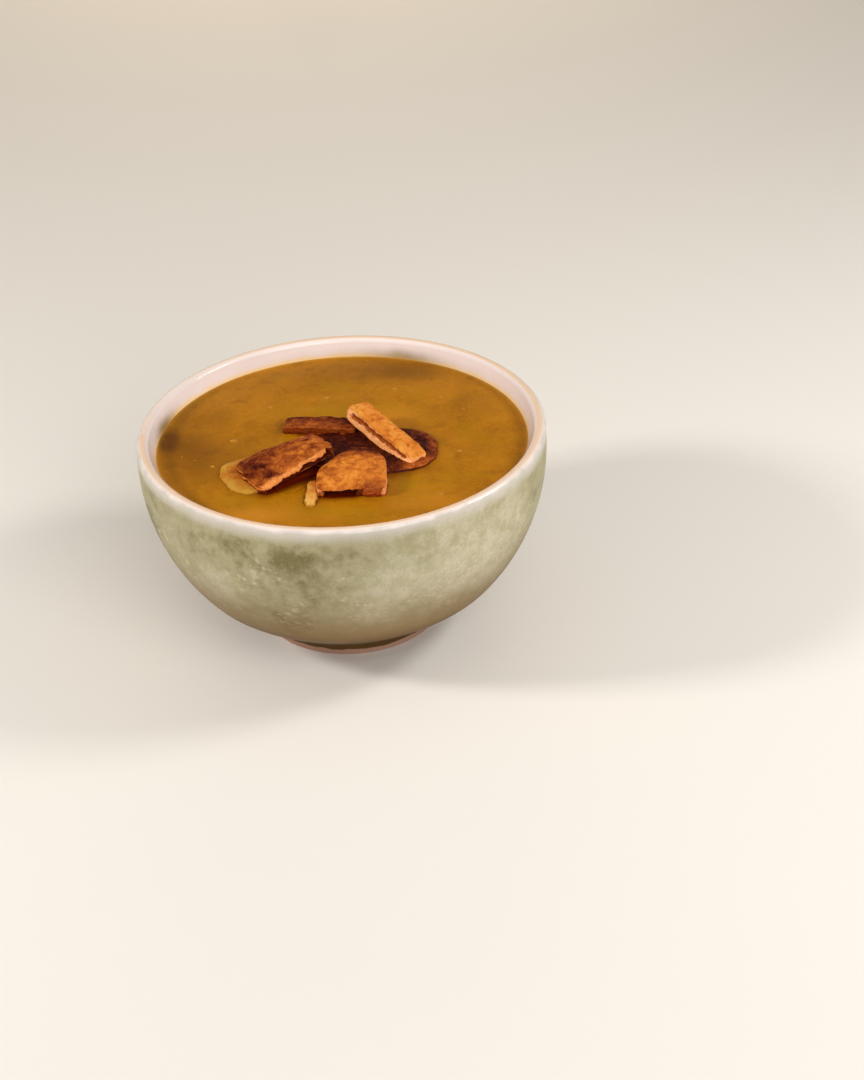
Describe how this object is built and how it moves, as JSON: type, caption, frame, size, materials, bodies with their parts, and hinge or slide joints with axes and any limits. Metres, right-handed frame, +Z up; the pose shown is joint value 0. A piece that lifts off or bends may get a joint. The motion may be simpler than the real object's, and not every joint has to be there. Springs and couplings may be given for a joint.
{
  "type": "bowl of lentil soup",
  "caption": "Round footed stoneware bowl filled almost to the rim with thick brown lentil soup, with pieces of toasted flatbread floating in the middle.",
  "frame": {"origin": "centre of the foot ring, on the surface that the bowl stands on", "axes": "+Z up through the middle of the bowl, -Y towards the viewer of the picture, +X to the viewer's right"},
  "size_m": [0.15, 0.15, 0.0809],
  "materials": {
    "glaze": "glossy mottled pale green glaze outside, milky white inside and over the rim, bare clay foot",
    "soup": "wet, slightly oily surface of a thick brown lentil soup",
    "toast_golden": "golden toasted flatbread, matte with blisters",
    "toast_dark": "dark toasted flatbread, matte with char marks",
    "soaked_bread": "pale bread soaked with soup, damp"
  },
  "bodies": {
    "root": {"bowl": "glaze", "soup": "soup", "crouton_right": "toast_golden", "crouton_left": "toast_dark", "crouton_front": "toast_golden", "crouton_back": "toast_dark", "crouton_under": "toast_dark", "soaked_layer": "soaked_bread", "soaked_shred": "soaked_bread"}
  },
  "joints": []
}
